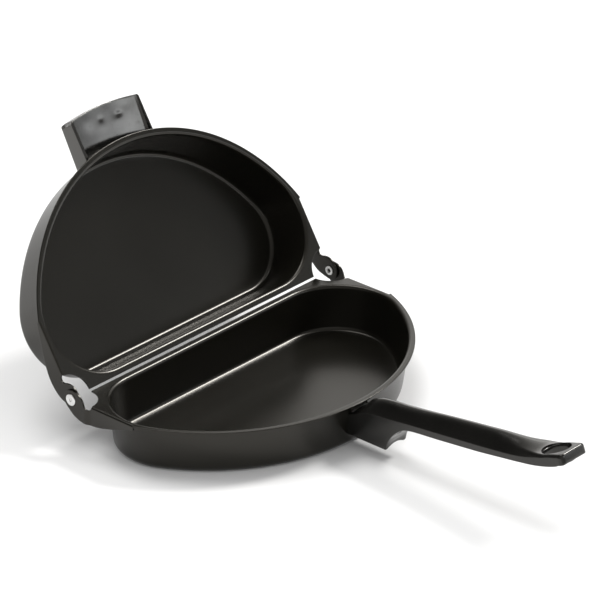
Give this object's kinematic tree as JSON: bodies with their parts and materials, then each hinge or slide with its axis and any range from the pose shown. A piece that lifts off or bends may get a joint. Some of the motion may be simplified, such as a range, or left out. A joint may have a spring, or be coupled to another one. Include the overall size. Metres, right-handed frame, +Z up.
{
  "type": "omelette pan",
  "caption": "Folding omelette pan: two hinged half-round non-stick wells, a long curved handle on the lower one and a short grip on the upper one.",
  "frame": {"origin": "middle of the flat underside of the lower well, on the pan's plane of symmetry and 66 mm from the hinge axis", "axes": "+X from the hinge towards the long handle, +Y along the hinge axis, +Z up from the hob"},
  "size_m": [0.3917, 0.239, 0.1595],
  "materials": {
    "nonstick": "satin black non-stick coating with a fine grain on pressed aluminium sheet",
    "phenolic": "glossy black moulded heat-proof plastic",
    "rivet": "bright, lightly scuffed",
    "fixing": "zinc plated, dull"
  },
  "bodies": {
    "lower": {"lower_pan_shell": "nonstick", "hinge_rivet_left": "rivet", "hinge_rivet_right": "rivet", "long_handle": "phenolic", "handle_bracket": "fixing", "handle_screw": "fixing", "handle_lock_washer": "fixing"},
    "upper": {"upper_pan_shell": "nonstick", "short_grip": "phenolic", "grip_bracket": "fixing", "grip_screw": "fixing", "grip_lock_washer": "fixing"}
  },
  "joints": [
    {"name": "pan_hinge", "type": "hinge", "parent": "lower", "child": "upper", "pos_m": [-0.066, 0, 0.03165], "axis": [0, -1, 0], "range_deg": [-121.6, 58.4]}
  ]
}
